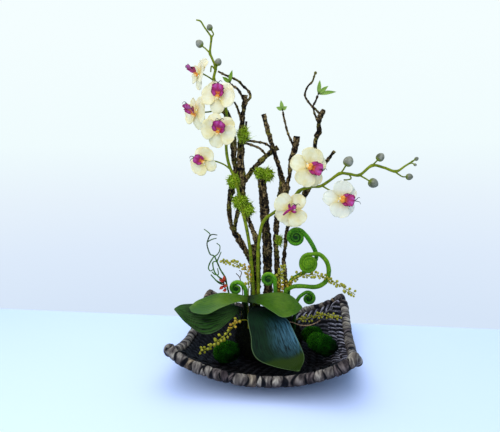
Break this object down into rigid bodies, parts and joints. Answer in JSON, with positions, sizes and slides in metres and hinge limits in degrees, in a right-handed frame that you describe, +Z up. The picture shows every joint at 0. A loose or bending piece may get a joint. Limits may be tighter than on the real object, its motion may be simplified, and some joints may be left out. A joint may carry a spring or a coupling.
{
  "type": "ikebana orchid arrangement in woven tray",
  "caption": "Tall dry ikebana arrangement: orchid spikes, bare branches, fern crosiers and berry sprays standing in moss in a square woven tray with raised corners.",
  "frame": {"origin": "on the table under the middle of the tray's flat bottom", "axes": "+Z up along the branches, -Y towards the viewer of the front, +X to the viewer's right, square with the tray"},
  "size_m": [0.5077, 0.3789, 0.7192],
  "materials": {
    "weave": "dark twisted seagrass rope",
    "rim": "rope wrapped in taupe-grey bands",
    "foam": "matte foam",
    "moss": "dark fibrous moss",
    "stone_moss": "short fuzzy moss",
    "bark": "rough dark bark",
    "mossy_bark": "bark under thin moss",
    "spike": "satin",
    "petal": "soft coated cloth",
    "lip": "soft coated cloth",
    "leaf_bright": "satin",
    "leaf_dark": "satin, fine ribs",
    "leaf_teal": "glossy, fine ribs",
    "crosier": "short fuzz",
    "crosier_lime": "short fuzz",
    "berry": "satin",
    "clump": "loose curly moss",
    "tuft": "soft coated cloth",
    "tendril": "matte",
    "red_leaf": "soft coated cloth",
    "vine": "dry stem"
  },
  "bodies": {
    "root": {"tray_weave": "weave", "tray_rim": "rim", "floral_foam": "foam", "moss_mound": "moss", "moss_stone_left": "stone_moss", "moss_stone_right": "stone_moss", "moss_stone_back": "stone_moss", "branch_left": "bark", "forked_stick": "bark", "branch_right": "bark", "dark_twig": "bark", "mossy_post": "mossy_bark", "spike_left": "spike", "spike_right": "spike", "bloom_left_1": "petal", "bloom_left_1_lip": "lip", "bloom_left_2": "petal", "bloom_left_2_lip": "lip", "bloom_left_3": "petal", "bloom_left_3_lip": "lip", "bloom_left_4": "petal", "bloom_left_4_lip": "lip", "bloom_left_5": "petal", "bloom_left_5_lip": "lip", "bloom_right_1": "petal", "bloom_right_1_lip": "lip", "bloom_right_2": "petal", "bloom_right_2_lip": "lip", "bloom_right_3": "petal", "bloom_right_3_lip": "lip", "leaf_left_upper": "leaf_bright", "leaf_right": "leaf_bright", "leaf_left_lower": "leaf_dark", "leaf_front": "leaf_teal", "crosier_tall": "crosier", "crosier_centre": "crosier", "crosier_left": "crosier", "crosier_right": "crosier", "crosier_lime": "crosier_lime", "spray_front": "berry", "spray_right_low": "berry", "spray_right_high": "berry", "spray_centre": "berry", "spray_left": "berry", "moss_clump_upper": "clump", "moss_clump_lower": "clump", "moss_clump_post": "clump", "moss_clump_high": "clump", "moss_clump_stick": "clump", "tuft_left": "tuft", "tuft_middle": "tuft", "tuft_right": "tuft", "tendril_tangle": "tendril", "red_sprig": "red_leaf", "vine": "vine"}
  },
  "joints": []
}
